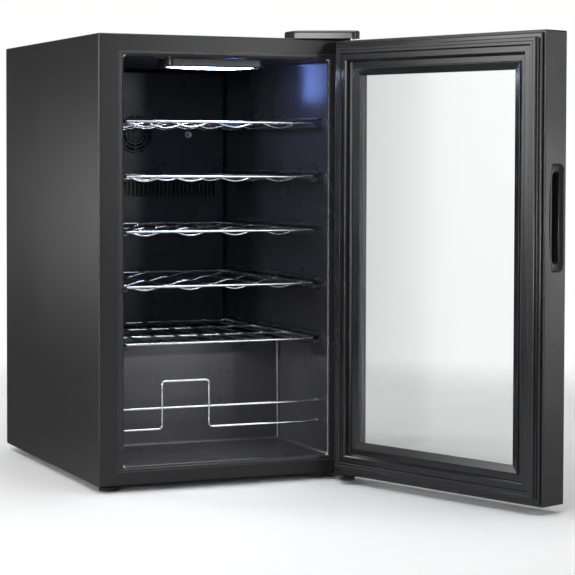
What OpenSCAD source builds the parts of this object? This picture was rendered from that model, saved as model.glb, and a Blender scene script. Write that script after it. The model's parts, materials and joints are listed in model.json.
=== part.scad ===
// Free-standing wine cooler with a glazed swing door, shown with the door open.
// Frame: floor at z = 0, centre of the cabinet's footprint at x = y = 0, the front faces -Y.

/* [Cabinet] */
// Outer width of the cabinet
cabinet_w = 518; // [480:1:560]
// Outer depth of the cabinet without the door
cabinet_d = 620; // [600:1:660]
// Height of the cabinet above its feet
cabinet_h = 840; // [820:1:880]
// Height of the underside above the floor
foot_h = 12.5; // [10:0.5:20]
// Thickness of the steel sheet
sheet_t = 1; // [0.8:0.1:1.5]
// Thickness of the bottom plate
base_t = 1.5; // [1.2:0.1:2]
// Width of the painted front flange at each side
flange_side = 36.5; // [34:0.5:40]
// Width of the painted front flange at the top
flange_top = 30; // [28:0.5:34]
// Width of the painted front flange at the bottom
flange_bottom = 25; // [22:0.5:28]

/* [Liner] */
// Width of the plastic flange round the opening
liner_flange = 14.5; // [12:0.5:16]
// Wall of the plastic liner
liner_t = 2.5; // [2:0.5:3]
// Depth of the lower compartment, in front of the compressor
lower_depth = 240; // [230:1:250]
// Depth of the upper compartment
upper_depth = 560; // [550:1:565]
// Height of the ledge over the compressor
ledge_z = 257; // [250:1:260]
// Radius of the opening's corners
corner_r = 10; // [6:1:14]

/* [Shelves] */
// Height of the lowest shelf above the floor
shelf_z = 271; // [268:1:276]
// Height from the lowest shelf to the second
lowest_step = 108; // [104:1:112]
// Height between the other shelves
shelf_step = 104; // [100:1:106]
// Distance of the shelf's front bar behind the cabinet's front
shelf_setback = 37; // [30:1:45]
// Length of a shelf from front bar to back bar
shelf_l = 468; // [440:1:475]
// Radius of the shelf's frame wire
frame_wire_r = 2.5; // [2:0.1:3]
// Radius of the shelf's cross wires
cross_wire_r = 1.6; // [1.2:0.1:2]
// Distance between two bottle cradles
cradle_pitch = 93; // [88:1:96]
// Depth of a bottle cradle below the frame
cradle_depth = 9; // [6:1:12]

/* [Door] */
// Thickness of the door without its gasket
door_t = 58; // [56:1:62]
// Height of the door's lower edge above the floor
door_z = 14.5; // [14:0.5:18]
// Height of the door
door_h = 833; // [820:1:834]
// Gap between the closed door's rim and the cabinet
door_gap = 14.5; // [14:0.5:16]
// Distance of the hinge axis from the cabinet's side
axis_in = 20; // [18:0.5:22]
// Distance of the hinge axis behind the door's rim
axis_deep = 24; // [22:0.5:26]
// How far the door stands open in the stored pose
door_open = 109.5; // [90:0.5:115]
// Width of the frame from the door's edge to the clear glass
frame_w = 68; // [66:0.5:70]
// Length of the recessed handle
handle_l = 190; // [170:1:200]
// Height of the handle's centre above the floor
handle_z = 520; // [500:1:540]

/* [Fans] */
// Side of the evaporator fan's square frame
evap_fan_s = 92; // [80:1:92]
// Side of the condenser fan's square frame
cond_fan_s = 120; // [110:1:120]

/* [Hidden] */
$fn = 48;

half_w = cabinet_w / 2;
half_d = cabinet_d / 2;
floor_z = foot_h;
top_z = foot_h + cabinet_h;

// Opening and inside of the liner
open_x = half_w - flange_side - liner_flange;
open_z0 = floor_z + flange_bottom + 10;
open_z1 = top_z - flange_top - 11;
upper_y = -half_d + upper_depth;
lower_y = -half_d + lower_depth;

// Shelves
shelf_y0 = -half_d + shelf_setback;
shelf_y1 = shelf_y0 + shelf_l;
shelf_x = open_x - 12.5;
ledge_w = 17;
ledge_h = 7;
guide_w = 11;
guide_gap = 9;
cross_pitch = 48.5;
function shelf_height(n) = shelf_z + (n == 5 ? 0 : lowest_step + (4 - n) * shelf_step);

// Compressor bay behind the lower compartment
bay_y = lower_y + liner_t + 32;
bay_z = ledge_z - liner_t - 30;
cover_y = half_d - sheet_t;

// Hinge axis
axis_x = half_w - axis_in;
axis_y = -half_d - door_gap - axis_deep;
pin_r = 4;
running = 0.03;
bush_r = 8;
bush_l = 18;
pin_in = 14;
plate_t = 3;
bottom_plate_z = 8;
tongue_l = 40;
tongue_turn = 237;

// Depths in the door, from the rim plane outwards; less than 0 stands proud towards the cabinet
pane_t = 3;
spacer_t = 8;
pane_1 = 1;
pane_2 = pane_1 + pane_t + spacer_t;
pane_3 = pane_2 + pane_t + spacer_t;
glass_end = pane_3 + pane_t;
glass_in = 46;
retainer_out = 26.2;
retainer_in = 39.4;
retainer_h = 12;
bead_out = 55;

// Round-cornered rectangle, exact arcs
module rounded(w, h, r) {
    square([w - 2 * r, h], center = true);
    square([w, h - 2 * r], center = true);
    for (x = [-1, 1], y = [-1, 1])
        translate([x * (w / 2 - r), y * (h / 2 - r)]) circle(r);
}

// Round-cornered block along Y, from y0 to y1
module tunnel(hw, z0, z1, y0, y1, r) {
    translate([0, y1, (z0 + z1) / 2])
        rotate([90, 0, 0])
            linear_extrude(y1 - y0) rounded(2 * hw, z1 - z0, r);
}

// Block given by two corners
module block(a, b) {
    translate(a) cube(b - a);
}

module rod(a, b, r) {
    d = b - a;
    l = norm(d);
    translate(a)
        rotate([0, acos(d.z / l), atan2(d.y, d.x)])
            cylinder(r = r, h = l, $fn = 24);
}

// Wire along a list of points, with slightly thicker round joints
module wire(pts, r) {
    for (i = [0:len(pts) - 2]) rod(pts[i], pts[i + 1], r);
    for (i = [1:len(pts) - 2]) translate(pts[i]) sphere(r * 1.08, $fn = 24);
}

// ---------- cabinet ----------

module cabinet_shell() {
    color("#2b2c2e")
    difference() {
        block([-half_w, -half_d, floor_z], [half_w, half_d, top_z]);
        block([-half_w + sheet_t, -half_d + sheet_t, floor_z - 1],
            [half_w - sheet_t, half_d + 1, top_z - sheet_t]);
        block([-half_w + flange_side, -half_d - 1, floor_z + flange_bottom],
            [half_w - flange_side, -half_d + sheet_t + 1, top_z - flange_top]);
        for (p = top_screws) translate([p.x, p.y, top_z - 3]) cylinder(r = 2.1, h = 6);
    }
}

foot_x = half_w - 31;
foot_y = -half_d + 34;
rear_foot = [half_w - 38, half_d - 62];
foot_stud_r = 4;
rear_stud_r = 3;
top_screws = [[axis_x - 52, -half_d + 18], [axis_x - 14, -half_d + 18], [axis_x - 33, -half_d + 36]];
bottom_screws = [[axis_x - 62, -half_d + 22], [axis_x - 34, -half_d + 22], [axis_x - 62, -half_d + 52]];

module base_plate() {
    color("#1d1d1f")
    difference() {
        union() {
            block([-half_w + sheet_t, -half_d + sheet_t, floor_z],
                [half_w - sheet_t, half_d - sheet_t, floor_z + base_t]);
            for (x = [-1, 1]) translate([x * foot_x, foot_y, floor_z]) cylinder(r = 9, h = 10);
        }
        for (x = [-1, 1])
            translate([x * foot_x, foot_y, floor_z - 1]) cylinder(r = foot_stud_r + running, h = 12);
        for (p = bottom_screws) translate([p.x, p.y, floor_z - 1]) cylinder(r = 2.1, h = 4);
        for (x = [-1, 1])
            translate([x * rear_foot.x, rear_foot.y, floor_z - 1]) cylinder(r = rear_stud_r + 0.1, h = 4);
        for (m = mount_places) translate([m.x, m.y, floor_z - 1]) cylinder(r = 3, h = 4);
    }
}

module rear_panel() {
    color("#303134")
    block([-half_w + sheet_t, half_d - sheet_t, bay_z], [half_w - sheet_t, half_d, top_z - sheet_t]);
}

module liner_outer() {
    t = liner_t;
    tunnel(open_x + t, ledge_z - t, open_z1 + t, -half_d + 0.5, upper_y + t, corner_r);
    tunnel(open_x + t, open_z0 - t, open_z1 + t, -half_d + 0.5, lower_y + t, corner_r);
    // the flange round the opening
    block([-half_w + flange_side + 0.3, -half_d + 0.2, floor_z + flange_bottom + 0.3],
        [half_w - flange_side - 0.3, -half_d + t, top_z - flange_top - 0.3]);
}

// Rib along a side wall of the liner
module rib(side, w, z0, z1) {
    x = side * (open_x - w / 2 + 0.5);
    y0 = shelf_y0 - 6;
    y1 = shelf_y1 + 6;
    translate([x, (y0 + y1) / 2, (z0 + z1) / 2]) cube([w + 1, y1 - y0, z1 - z0], center = true);
}

module liner_inner() {
    tunnel(open_x, ledge_z, open_z1, -half_d - 1, upper_y, corner_r - 2);
    tunnel(open_x, open_z0, open_z1, -half_d - 1, lower_y, corner_r - 2);
}

module liner() {
    color("#3a3a44") {
        difference() {
            liner_outer();
            liner_inner();
            translate([drain_x, drain_y, ledge_z - liner_t - 1]) cylinder(r = drain_r, h = liner_t + 2);
        }
        // ledges that carry the shelves' side wires, and guide ribs over them
        for (n = [1:5], x = [-1, 1]) {
            z = shelf_height(n) - frame_wire_r - 0.4;
            rib(x, ledge_w, z - ledge_h, z);
            rib(x, guide_w, z + guide_gap, z + guide_gap + 5);
        }
    }
}

module insulation() {
    color("#e8d9a0")
    difference() {
        block([-half_w + sheet_t, -half_d + sheet_t, floor_z + base_t],
            [half_w - sheet_t, half_d - sheet_t, top_z - sheet_t]);
        liner_outer();
        liner_inner();
        block([-half_w, bay_y, 0], [half_w, half_d + 1, bay_z]);
        for (x = [-1, 1]) translate([x * foot_x, foot_y, floor_z]) cylinder(r = 9.5, h = 26);
        for (p = top_screws) translate([p.x, p.y, top_z - 9]) cylinder(r = 3, h = 10);
        for (p = bottom_screws) translate([p.x, p.y, floor_z]) cylinder(r = 3, h = 10);
        // drain passage from the ledge down to the compressor bay
        translate([drain_x, drain_y, bay_z - 1]) cylinder(r = drain_tube_r + 1, h = 60);
    }
}

// ---------- cooling inside the cabinet ----------

duct_y = upper_y - 27;
cover_t = 3;
duct_z0 = ledge_z + 5;
duct_z1 = open_z1 - 8;
grille_z = 556;
fan_z = 672;
grille_w = 368;
slat_pitch = 9.2;
drain_x = -150;
drain_y = upper_y - 12;
drain_r = 3;
drain_tube_r = 5;

module evaporator_cover() {
    fan_hole = evap_fan_s / 2 - 6;
    color("#34343d")
    difference() {
        union() {
            block([-open_x + 6, duct_y, duct_z0], [open_x - 6, duct_y + cover_t, duct_z1]);
            // side walls that stand the cover off the liner
            for (x = [-1, 1])
                translate([x * (open_x - 7.5), (duct_y + upper_y) / 2, (duct_z0 + duct_z1) / 2])
                    cube([3, upper_y - duct_y, duct_z1 - duct_z0], center = true);
        }
        // outlet slots across the back
        for (i = [0:floor(grille_w / slat_pitch) - 1])
            translate([(i + 0.5) * slat_pitch - grille_w / 2, duct_y, grille_z])
                cube([slat_pitch - 3.6, 20, 34], center = true);
        // inlet in front of the fan: rings of slots left between bars
        difference() {
            translate([0, duct_y + 10, fan_z]) rotate([90, 0, 0]) cylinder(r = fan_hole, h = 20);
            for (r = [12:8:fan_hole])
                translate([0, duct_y + 12, fan_z]) rotate([90, 0, 0]) difference() {
                    cylinder(r = r + 1.5, h = 24);
                    translate([0, 0, -1]) cylinder(r = r - 1.5, h = 26);
                }
            for (a = [0:45:135])
                translate([0, duct_y, fan_z]) rotate([0, a, 0])
                    cube([2 * fan_hole + 4, 24, 3], center = true);
        }
        translate([120, duct_y - 1, fan_z]) rotate([-90, 0, 0]) cylinder(r = 4.2, h = 8);
    }
}

module evaporator() {
    y = upper_y - 12;
    z0 = 310;
    rows = 7;
    pitch = 26;
    half = 150;
    color("#c9ccd0") {
        block([-half + 8, y - 0.75, z0 - 12], [half - 8, y + 0.75, z0 + (rows - 1) * pitch + 12]);
        for (i = [0:rows - 1])
            rod([-half, y, z0 + i * pitch], [half, y, z0 + i * pitch], 4);
        for (i = [0:rows - 2])
            translate([(i % 2 == 0 ? 1 : -1) * half, y, z0 + (i + 0.5) * pitch])
                rotate([90, 0, 0])
                    rotate_extrude(angle = 180, start = i % 2 == 0 ? -90 : 90)
                        translate([pitch / 2, 0]) circle(4, $fn = 24);
    }
}

// Square fan frame on the axis Y, its front face at y = 0 and its depth towards +Y
module fan_frame(s, d) {
    difference() {
        union() {
            difference() {
                translate([0, d, 0]) rotate([90, 0, 0]) linear_extrude(d) rounded(s, s, 5);
                translate([0, d + 1, 0]) rotate([90, 0, 0]) cylinder(r = s / 2 - 3, h = d + 2);
            }
            translate([0, d, 0]) rotate([90, 0, 0]) cylinder(r = s * 0.2, h = 3);
            for (a = [45:90:315])
                rotate([0, a, 0]) block([s * 0.18, d - 3, -2], [s / 2 - 2.5, d, 2]);
            // bearing tube
            translate([0, d, 0]) rotate([90, 0, 0]) cylinder(r = 4, h = d - 5);
        }
        translate([0, d + 1, 0]) rotate([90, 0, 0]) cylinder(r = 1.5 + running, h = d + 2);
        for (x = [-1, 1], z = [-1, 1])
            translate([x * (s / 2 - 5), d + 1, z * (s / 2 - 5)])
                rotate([90, 0, 0]) cylinder(r = 2, h = d + 2);
    }
}

module fan_rotor(s, d) {
    hub_r = s * 0.19;
    tip_r = s / 2 - 4.5;
    difference() {
        translate([0, d - 5, 0]) rotate([90, 0, 0]) cylinder(r = hub_r, h = d - 7);
        translate([0, d, 0]) rotate([90, 0, 0]) cylinder(r = hub_r - 2, h = d - 4);
    }
    translate([0, d - 1, 0]) rotate([90, 0, 0]) cylinder(r = 1.5, h = d - 3);
    intersection() {
        for (a = [0:360 / 7:359])
            rotate([0, a, 0]) translate([hub_r - 1.5 + (tip_r - hub_r) / 2, d / 2 - 1, 0])
                rotate([38, 0, 0]) cube([tip_r - hub_r + 3, 1.6, s * 0.24], center = true);
        difference() {
            translate([0, d - 4, 0]) rotate([90, 0, 0]) cylinder(r = tip_r, h = d - 6);
            translate([0, d, 0]) rotate([90, 0, 0]) cylinder(r = hub_r - 1, h = d);
        }
    }
}

module evaporator_fan_frame() {
    color("#202022") translate([0, duct_y + cover_t, fan_z]) fan_frame(evap_fan_s, 20);
}

module evaporator_fan_rotor() {
    color("#2a2a2d") translate([0, duct_y + cover_t, fan_z]) fan_rotor(evap_fan_s, 20);
}

module temperature_sensor() {
    color("#d8d8d4") translate([120, duct_y - 12, fan_z]) rotate([-90, 0, 0]) {
        cylinder(r = 4, h = 24);
        sphere(4);
        translate([0, 0, 9]) cylinder(r = 7, h = 3);
    }
}

// ---------- ceiling lamp ----------

lamp_y = -half_d + 92;
lamp_w = 178;
lamp_d = 46;
lamp_h = 15;

module lamp_housing() {
    color("#3f3f48")
    difference() {
        translate([0, lamp_y, open_z1 - lamp_h]) linear_extrude(lamp_h) rounded(lamp_w + 24, lamp_d + 16, 8);
        translate([0, lamp_y, open_z1 - lamp_h - 1]) linear_extrude(lamp_h - 2) rounded(lamp_w, lamp_d, 5);
    }
}

module lamp_board() {
    z = open_z1 - 3.6;
    color("#e9efe9") {
        block([-lamp_w / 2 + 5, lamp_y - 14, z - 1.6], [lamp_w / 2 - 5, lamp_y + 14, z]);
        for (x = [-60:24:60]) block([x - 2.5, lamp_y - 2.5, z - 3.4], [x + 2.5, lamp_y + 2.5, z - 1.6]);
    }
}

module lamp_lens() {
    color("#f4f8ff", 0.8)
    translate([0, lamp_y, open_z1 - lamp_h - 2.5]) linear_extrude(5) rounded(lamp_w - 0.6, lamp_d - 0.6, 4.7);
}

// ---------- hinges ----------

module top_plate_outline() {
    polygon([[axis_x - 64, -half_d + 6], [axis_x - 64, -half_d + 46], [axis_x - 2, -half_d + 46],
        [axis_x + 11, -half_d + 6], [axis_x + 11, axis_y - 5], [axis_x - 11, axis_y - 5],
        [axis_x - 30, -half_d + 6]]);
}

module top_hinge_bracket() {
    color("#9a9b9e")
    difference() {
        translate([0, 0, top_z]) union() {
            linear_extrude(plate_t) top_plate_outline();
            translate([axis_x, axis_y, 0]) cylinder(r = 12, h = plate_t);
        }
        translate([axis_x, axis_y, top_z - 1]) cylinder(r = pin_r + running, h = plate_t + 2);
        for (p = top_screws) translate([p.x, p.y, top_z - 1]) cylinder(r = 2.6, h = plate_t + 2);
    }
}

module top_hinge_pin() {
    color("#c4c6c9") {
        translate([axis_x, axis_y, door_z + door_h - pin_in])
            cylinder(r = pin_r, h = top_z + plate_t - door_z - door_h + pin_in);
        translate([axis_x, axis_y, top_z + plate_t]) cylinder(r = 7, h = 3);
    }
}

module bottom_hinge_bracket() {
    color("#131314")
    difference() {
        union() {
            translate([0, 0, bottom_plate_z]) linear_extrude(plate_t)
                union() {
                    polygon([[axis_x - 74, -half_d + 2], [axis_x - 74, -half_d + 62],
                        [axis_x - 22, -half_d + 62], [axis_x + 12, -half_d + 2], [axis_x + 12, axis_y],
                        [axis_x - 12, axis_y], [axis_x - 34, -half_d + 2]]);
                    translate([axis_x, axis_y]) circle(13);
                    // tongue towards the door's stop
                    translate([axis_x, axis_y]) rotate(tongue_turn) {
                        translate([0, -11]) square([tongue_l, 22]);
                        translate([tongue_l, 0]) circle(13.5);
                    }
                }
            // spacer up to the cabinet's underside
            translate([0, 0, bottom_plate_z + plate_t])
                linear_extrude(floor_z - bottom_plate_z - plate_t)
                    polygon([[axis_x - 72, -half_d + 4], [axis_x - 72, -half_d + 60],
                        [axis_x - 24, -half_d + 60], [axis_x - 10, -half_d + 4]]);
        }
        translate([axis_x, axis_y, bottom_plate_z - 1]) cylinder(r = pin_r + running, h = plate_t + 2);
        translate([foot_x, foot_y, 0]) cylinder(r = 10, h = 20);
        for (p = bottom_screws) translate([p.x, p.y, bottom_plate_z - 1]) cylinder(r = 2.6, h = 8);
    }
}

module bottom_hinge_pin() {
    color("#c4c6c9") {
        translate([axis_x, axis_y, bottom_plate_z]) cylinder(r = pin_r, h = door_z + pin_in - bottom_plate_z);
        translate([axis_x, axis_y, bottom_plate_z - 4.5]) cylinder(r = 8, h = 4.5, $fn = 6);
    }
}

module hinge_washer() {
    z = bottom_plate_z + plate_t;
    color("#e6e6e2")
    translate([axis_x, axis_y, z]) difference() {
        cylinder(r = 9, h = door_z - z - 0.3);
        translate([0, 0, -1]) cylinder(r = pin_r + running, h = 8);
    }
}

// One outline of the hinge cover, drawn in by a wall's thickness
module cover_outline(inset = 0) {
    i = inset;
    nose_r = 15 - i;
    x1 = axis_x + 15;
    polygon(concat(
        [[x1 - i, -half_d + 52 - i], [axis_x - 104 + i, -half_d + 52 - i],
            [axis_x - 104 + i, -half_d + 1 + i * 0.6]],
        [for (a = [-118:12:-10]) [axis_x, axis_y] + nose_r * [cos(a), sin(a)]],
        [[x1 - i, axis_y]]));
}

cover_h = 15;
cover_wall = 2;
module hinge_cover() {
    color("#232426")
    difference() {
        translate([0, 0, top_z]) linear_extrude(cover_h) cover_outline();
        translate([0, 0, top_z - 1]) linear_extrude(cover_h - cover_wall + 1) cover_outline(cover_wall);
    }
}

module screw(r, head_r, l) {
    cylinder(r = r, h = l);
    translate([0, 0, l]) difference() {
        cylinder(r1 = head_r, r2 = head_r * 0.7, h = 2.4);
        translate([0, 0, 1.2]) {
            cube([head_r * 1.1, 1, 3], center = true);
            cube([1, head_r * 1.1, 3], center = true);
        }
    }
}

module hinge_screws() {
    color("#8b8d90") {
        for (p = top_screws) translate([p.x, p.y, top_z - 5]) screw(2, 4.4, 5 + plate_t);
        for (p = bottom_screws)
            translate([p.x, p.y, bottom_plate_z + 11]) rotate([180, 0, 0]) screw(2, 4.4, 11);
    }
}

// ---------- compressor bay ----------

comp = [128, 140];
comp_r = 62;
mount_places = [for (x = [-1, 1], y = [-1, 1]) [comp.x + x * 66, comp.y + y * 52]];
mount_h = 14;
comp_z = floor_z + base_t + mount_h;

module compressor() {
    color("#18181a")
    translate([comp.x, comp.y, comp_z]) {
        rotate_extrude()
            polygon(concat([[0, 4], [comp_r - 14, 4], [comp_r - 4, 10], [comp_r, 18], [comp_r, 64],
                [comp_r + 3, 65], [comp_r + 3, 70], [comp_r, 71], [comp_r, 84]],
                [for (a = [10:10:90]) [comp_r * cos(a), 84 + 42 * sin(a)]]));
        difference() {
            linear_extrude(4) rounded(156, 122, 8);
            for (m = mount_places) translate([m.x - comp.x, m.y - comp.y, -1]) cylinder(r = 5, h = 6);
        }
        // electrical cover
        translate([-comp_r - 8, -22, 24]) cube([24, 44, 46]);
    }
}

module compressor_mounts() {
    color("#101010")
    for (m = mount_places) translate([m.x, m.y, floor_z + base_t]) difference() {
        union() {
            cylinder(r = 10, h = mount_h);
            cylinder(r = 4.7, h = mount_h + 5);
            translate([0, 0, mount_h + 4]) cylinder(r = 8, h = 4);
        }
        translate([0, 0, -1]) cylinder(r = 3, h = 30);
    }
}

cond = [-135, 150];
cond_rows = 5;
cond_pitch = 24;
cond_half = 52;
cond_z = floor_z + 34;
cond_r = 3.2;

module condenser() {
    top = cond_z + (cond_rows - 1) * cond_pitch;
    color("#b9794f") {
        for (k = [0, 1], i = [0:cond_rows - 1]) {
            y = cond.y + 22 + k * 22;
            z = cond_z + i * cond_pitch;
            rod([cond.x - cond_half, y, z], [cond.x + cond_half, y, z], cond_r);
            if (i < cond_rows - 1)
                translate([cond.x + (i % 2 == 0 ? 1 : -1) * cond_half, y, z + cond_pitch / 2])
                    rotate([90, 0, 0])
                        rotate_extrude(angle = 180, start = i % 2 == 0 ? -90 : 90)
                            translate([cond_pitch / 2, 0]) circle(cond_r, $fn = 24);
        }
        translate([cond.x - cond_half, cond.y + 33, cond_z]) rotate([0, -90, 0])
            rotate_extrude(angle = 180, start = 90) translate([11, 0]) circle(cond_r, $fn = 24);
    }
    color("#9ea1a4")
    for (x = [-44:8:44])
        block([cond.x + x - 0.4, cond.y + 14, cond_z - 12], [cond.x + x + 0.4, cond.y + 52, top + 12]);
}

cond_fan_z = floor_z + 82;
module condenser_fan_frame() {
    color("#1b1b1d") {
        translate([cond.x, cond.y - 24, cond_fan_z]) fan_frame(cond_fan_s, 28);
        block([cond.x - 40, cond.y - 20, floor_z + base_t],
            [cond.x + 40, cond.y, cond_fan_z - cond_fan_s / 2]);
    }
}

module condenser_fan_rotor() {
    color("#26262a") translate([cond.x, cond.y - 24, cond_fan_z]) fan_rotor(cond_fan_s, 28);
}

drier = [20, 262];
drier_z = floor_z + 60;
drier_l = 112;
module filter_drier() {
    color("#b87243")
    translate([drier.x, drier.y, drier_z]) rotate_extrude()
        polygon([[0, 0], [3, 0], [3, 8], [9.5, 20], [9.5, drier_l - 20], [3, drier_l - 8],
            [3, drier_l], [0, drier_l]]);
}

module refrigerant_pipes() {
    z = comp_z + 40;
    y = comp.y + comp_r - 8;
    // right-hand ends of the condenser's top tubes, and the two pipes that meet them
    end_x = cond.x + cond_half;
    end_z = cond_z + (cond_rows - 1) * cond_pitch;
    hot = [comp.x + 10, comp.y + comp_r + 42, z - 22];
    cool_x = -40;
    low_z = drier_z - 12;
    color("#b9794f")
    difference() {
        union() {
            // suction pipe from the compressor up to the ledge
            wire([[comp.x - 20, y, z], [comp.x - 20, comp.y + comp_r + 30, z],
                [comp.x - 20, comp.y + comp_r + 30, bay_z - 0.5]], 4);
            // discharge pipe across to the condenser
            wire([[hot.x, y, hot.z], hot, [-60, hot.y, hot.z], [-60, hot.y, end_z], [-60, cond.y + 44, end_z],
                [end_x, cond.y + 44, end_z]], 3);
            // liquid pipe from the condenser to the drier
            wire([[end_x, cond.y + 22, end_z], [cool_x, cond.y + 22, end_z], [cool_x, cond.y + 22, low_z],
                [cool_x, drier.y, low_z], [drier.x, drier.y, low_z], [drier.x, drier.y, drier_z]], 2.5);
            // capillary from the drier up under the ledge
            wire([[drier.x, drier.y, drier_z + drier_l], [drier.x, drier.y, bay_z - 14],
                [-20, drier.y, bay_z - 14], [-20, drier.y, bay_z - 0.5]], 2);
        }
        translate([comp.x, comp.y, comp_z + 4]) cylinder(r = comp_r, h = 60);
    }
}

module drip_tray() {
    z = comp_z + 84 + 42 + 1;
    color("#2f3034")
    translate([comp.x, comp.y, z]) difference() {
        linear_extrude(26) rounded(150, 130, 10);
        translate([0, 0, 2]) linear_extrude(30) rounded(146, 126, 8);
    }
}

module drain_tube() {
    color("#d9d9d5")
    difference() {
        wire([[drain_x, drain_y, ledge_z - liner_t], [drain_x, drain_y, bay_z - 20],
            [comp.x - 90, drain_y, bay_z - 24], [comp.x - 60, comp.y + 45, bay_z - 27]], drain_tube_r);
        translate([drain_x, drain_y, ledge_z - 20]) cylinder(r = drain_r, h = 30);
    }
}

module control_box() {
    color("#3a3b3f")
    difference() {
        block([-30, 20, bay_z - 62], [70, 70, bay_z - 2]);
        block([-28, 22, bay_z - 60], [68, 68, bay_z - 4]);
    }
    color("#2f6b3f") block([-24, 30, bay_z - 58], [64, 62, bay_z - 56]);
}

inlet_x = -205;
inlet_z = 60;
module power_inlet() {
    y = half_d;
    color("#151516")
    difference() {
        union() {
            block([inlet_x - 14, y - 26, inlet_z - 10], [inlet_x + 14, y, inlet_z + 10]);
            block([inlet_x - 25, y, inlet_z - 13], [inlet_x + 25, y + 3, inlet_z + 13]);
        }
        block([inlet_x - 12, y - 20, inlet_z - 8], [inlet_x + 12, y + 4, inlet_z + 8]);
        for (x = [-1, 1])
            translate([inlet_x + 20 * x, y + 4, inlet_z]) rotate([90, 0, 0]) cylinder(r = 1.7, h = 6);
    }
    color("#c9c9c9")
    for (x = [-7, 0, 7]) {
        z = inlet_z + (x == 0 ? 1 : -3);
        block([inlet_x + x - 1, y - 21, z], [inlet_x + x + 1, y - 6, z + 4]);
    }
}

module rear_cover() {
    z1 = bay_z - 0.5;
    color("#2b2c2f")
    difference() {
        block([-half_w + sheet_t + 0.5, cover_y, floor_z + 2], [half_w - sheet_t - 0.5, half_d, z1]);
        for (i = [0:15], k = [0:3])
            translate([-150 + i * 26, half_d, floor_z + 70 + k * 36]) cube([5, 10, 26], center = true);
        block([inlet_x - 14.3, cover_y - 1, inlet_z - 10.3], [inlet_x + 14.3, half_d + 1, inlet_z + 10.3]);
        for (x = [-1, 1], z = [0, 1])
            translate([x * (half_w - 14), half_d + 1, floor_z + 14 + z * 184])
                rotate([90, 0, 0]) cylinder(r = 2.2, h = 4);
    }
}

module rear_cover_screws() {
    color("#8b8d90")
    for (x = [-1, 1], z = [0, 1])
        translate([x * (half_w - 14), half_d - 8, floor_z + 14 + z * 184]) rotate([-90, 0, 0]) screw(2, 4, 8);
}

// ---------- feet ----------

module rear_feet() {
    color("#0f0f10")
    for (x = [-1, 1]) translate([x * rear_foot.x, rear_foot.y, 0]) {
        cylinder(r1 = 13, r2 = 15, h = floor_z);
        cylinder(r = rear_stud_r, h = floor_z + 6);
    }
}

module levelling_foot() {
    teeth = 24;
    difference() {
        cylinder(r = 18, h = bottom_plate_z - 0.6);
        for (a = [0:360 / teeth:359]) rotate([0, 0, a]) translate([18.6, 0, 1.5]) cylinder(r = 1.2, h = 9);
    }
    cylinder(r = 8, h = floor_z - 0.5);
    cylinder(r = foot_stud_r, h = 34);
}

module front_foot_left() {
    color("#0f0f10") translate([-foot_x, foot_y, 0]) levelling_foot();
}

module front_foot_right() {
    color("#0f0f10") translate([foot_x, foot_y, 0]) levelling_foot();
}

// ---------- shelves and guard ----------

module shelf_frame(z) {
    r = frame_wire_r;
    bend = 9;
    for (y = [shelf_y0, shelf_y1])
        rod([-shelf_x + bend, y, z], [shelf_x - bend, y, z], r);
    for (x = [-1, 1]) rod([x * shelf_x, shelf_y0 + bend, z], [x * shelf_x, shelf_y1 - bend, z], r);
    for (c = [[1, 1, 0], [-1, 1, 90], [-1, -1, 180], [1, -1, 270]])
        translate([c.x * (shelf_x - bend), (c.y > 0 ? shelf_y1 - bend : shelf_y0 + bend), z])
            rotate_extrude(angle = 90, start = c.z) translate([bend, 0]) circle(r, $fn = 24);
}

// Cross wire of four shallow arcs, each the cradle of one bottle
module cradle_wire(y, z) {
    half = cradle_pitch / 2;
    r = (half * half + cradle_depth * cradle_depth) / (2 * cradle_depth);
    // each arc ends just inside the wire that runs from front to back
    sweep = asin((half - 0.7) / r);
    for (i = [-1.5:1:1.5])
        translate([i * cradle_pitch, y, z + r - cradle_depth])
            rotate([90, 0, 0])
                rotate_extrude(angle = 2 * sweep, start = 270 - sweep)
                    translate([r, 0]) circle(cross_wire_r, $fn = 16);
    for (x = [-1, 1])
        rod([x * (2 * cradle_pitch + 0.7), y, z], [x * shelf_x, y, z], cross_wire_r);
}

module cradle_shelf(n) {
    color("#c8cacd") translate([0, 0, shelf_height(n)]) union() {
        shelf_frame(0);
        for (y = [shelf_y0 + 42, shelf_y0 + 178, shelf_y0 + 300, shelf_y1 - 36]) cradle_wire(y, 0);
        for (x = [-2:2])
            rod([x * cradle_pitch, shelf_y0, 0], [x * cradle_pitch, shelf_y1, 0], cross_wire_r + 0.4);
    }
}

module flat_shelf(n) {
    z = shelf_height(n);
    color("#c8cacd") {
        shelf_frame(z);
        for (x = [-4:4])
            rod([x * cross_pitch, shelf_y0 - 1, z + frame_wire_r + 0.8],
                [x * cross_pitch, shelf_y1 + 1, z + frame_wire_r + 0.8], cross_wire_r + 0.2);
        for (y = [shelf_y0 + 150, shelf_y0 + 310]) rod([-shelf_x, y, z], [shelf_x, y, z], frame_wire_r);
    }
}

module shelf_1() { cradle_shelf(1); }
module shelf_2() { cradle_shelf(2); }
module shelf_3() { cradle_shelf(3); }
module shelf_4() { cradle_shelf(4); }
module shelf_5() { flat_shelf(5); }

module bottle_guard() {
    y = -half_d + 27;
    low = floor_z + 98;
    high = floor_z + 137;
    loop_top = floor_z + 188;
    loop_x = [-124, -29];
    back = 24;
    side = open_x - 4;
    color("#cfd1d4") {
        wire([[-open_x + 0.5, y + back, low], [-side, y + back, low], [-side, y, low], [loop_x[0], y, low],
            [loop_x[0], y, loop_top], [loop_x[1], y, loop_top], [loop_x[1], y, low],
            [side, y, low], [side, y + back, low], [open_x - 0.5, y + back, low]], 2);
        wire([[-open_x + 0.5, y + back, high], [-side, y + back, high], [-side, y + 3.6, high],
            [side, y + 3.6, high], [side, y + back, high], [open_x - 0.5, y + back, high]], 2);
    }
}

// ---------- door, drawn closed round its axis and then swung open ----------

module door_place() {
    translate([axis_x, axis_y, 0]) rotate([0, 0, door_open]) children();
}

door_x0 = axis_in - cabinet_w;

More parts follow.
